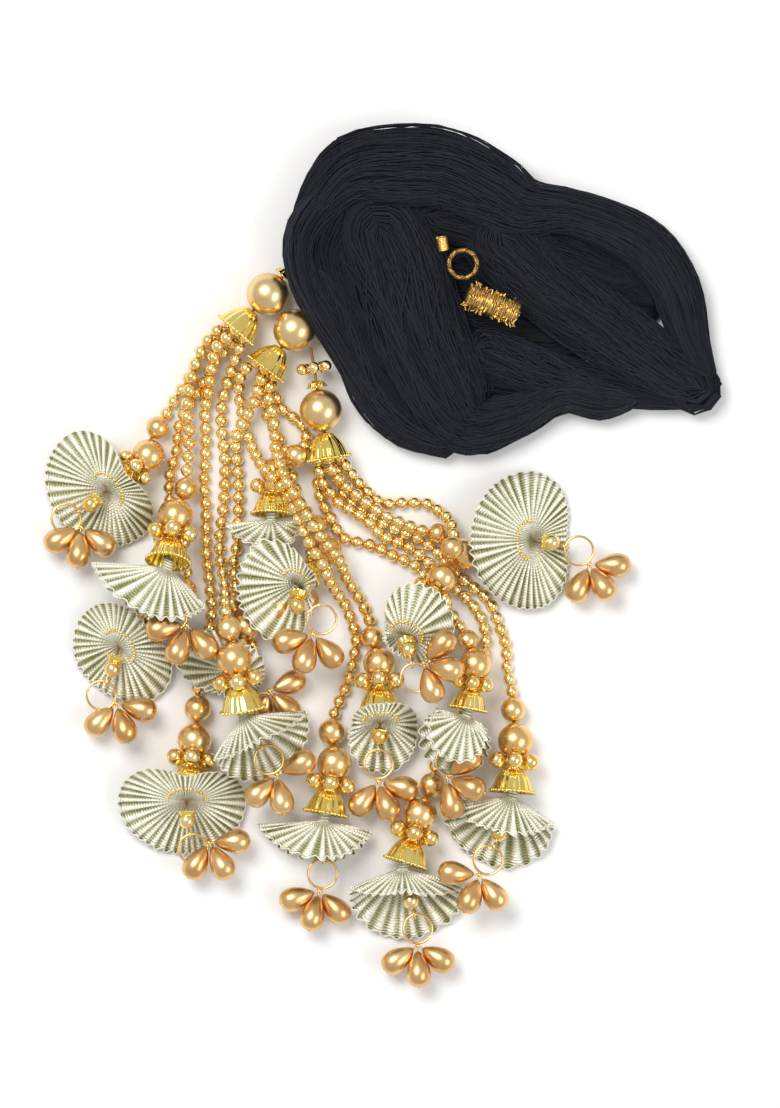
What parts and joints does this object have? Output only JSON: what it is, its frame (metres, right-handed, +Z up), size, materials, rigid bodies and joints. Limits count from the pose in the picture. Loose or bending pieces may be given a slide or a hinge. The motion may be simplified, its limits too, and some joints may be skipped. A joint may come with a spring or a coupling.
{
  "type": "paranda hair ornament",
  "caption": "Hair ornament for a braid: a coiled hank of navy-black cotton threads with long gold bead tassels, bell caps, pleated metallic tissue fans and rose-gold teardrops.",
  "frame": {"origin": "under the middle of the outline, on the surface that the ornament lies on", "axes": "+Z up from the surface, +Y towards the top of the hank, +X towards the hank's free end"},
  "size_m": [0.2252, 0.286, 0.0284],
  "materials": {
    "thread_black": "matte cotton threads",
    "zari": "metallic copper-gold thread",
    "champagne_bead": "champagne-gold satin bead",
    "polished_gold": "polished gold plate",
    "gold_bead": "shiny gold plate",
    "tissue": "pleated metallic silver-gold tissue",
    "rose_gold": "rose-gold satin bead"
  },
  "bodies": {
    "root": {"hank": "thread_black", "winding_1": "zari", "winding_2": "zari", "neck_a": "gold_bead", "head_bead_a": "champagne_bead", "head_cap_a": "polished_gold", "neck_b": "gold_bead", "head_bead_b": "champagne_bead", "head_cap_b": "polished_gold", "neck_c": "gold_bead", "head_bead_c": "champagne_bead", "head_cap_c": "polished_gold", "strand_1": "gold_bead", "fan_1": "tissue", "drops_1": "rose_gold", "strand_2": "gold_bead", "fan_2": "tissue", "drops_2": "rose_gold", "strand_3": "gold_bead", "fan_3": "tissue", "drops_3": "rose_gold", "strand_4": "gold_bead", "fan_4": "tissue", "drops_4": "rose_gold", "strand_5": "gold_bead", "fan_5": "tissue", "drops_5": "rose_gold", "strand_6": "gold_bead", "fan_6": "tissue", "drops_6": "rose_gold", "strand_7": "gold_bead", "fan_7": "tissue", "drops_7": "rose_gold", "strand_8": "gold_bead", "fan_8": "tissue", "drops_8": "rose_gold", "strand_9": "gold_bead", "fan_9": "tissue", "drops_9": "rose_gold", "strand_10": "gold_bead", "fan_10": "tissue", "drops_10": "rose_gold", "strand_11": "gold_bead", "fan_11": "tissue", "drops_11": "rose_gold", "strand_12": "gold_bead", "fan_12": "tissue", "drops_12": "rose_gold", "strand_13": "gold_bead", "fan_13": "tissue", "drops_13": "rose_gold", "strand_14": "gold_bead", "fan_14": "tissue", "drops_14": "rose_gold", "strand_15": "gold_bead", "fan_15": "tissue", "drops_15": "rose_gold"}
  },
  "joints": []
}
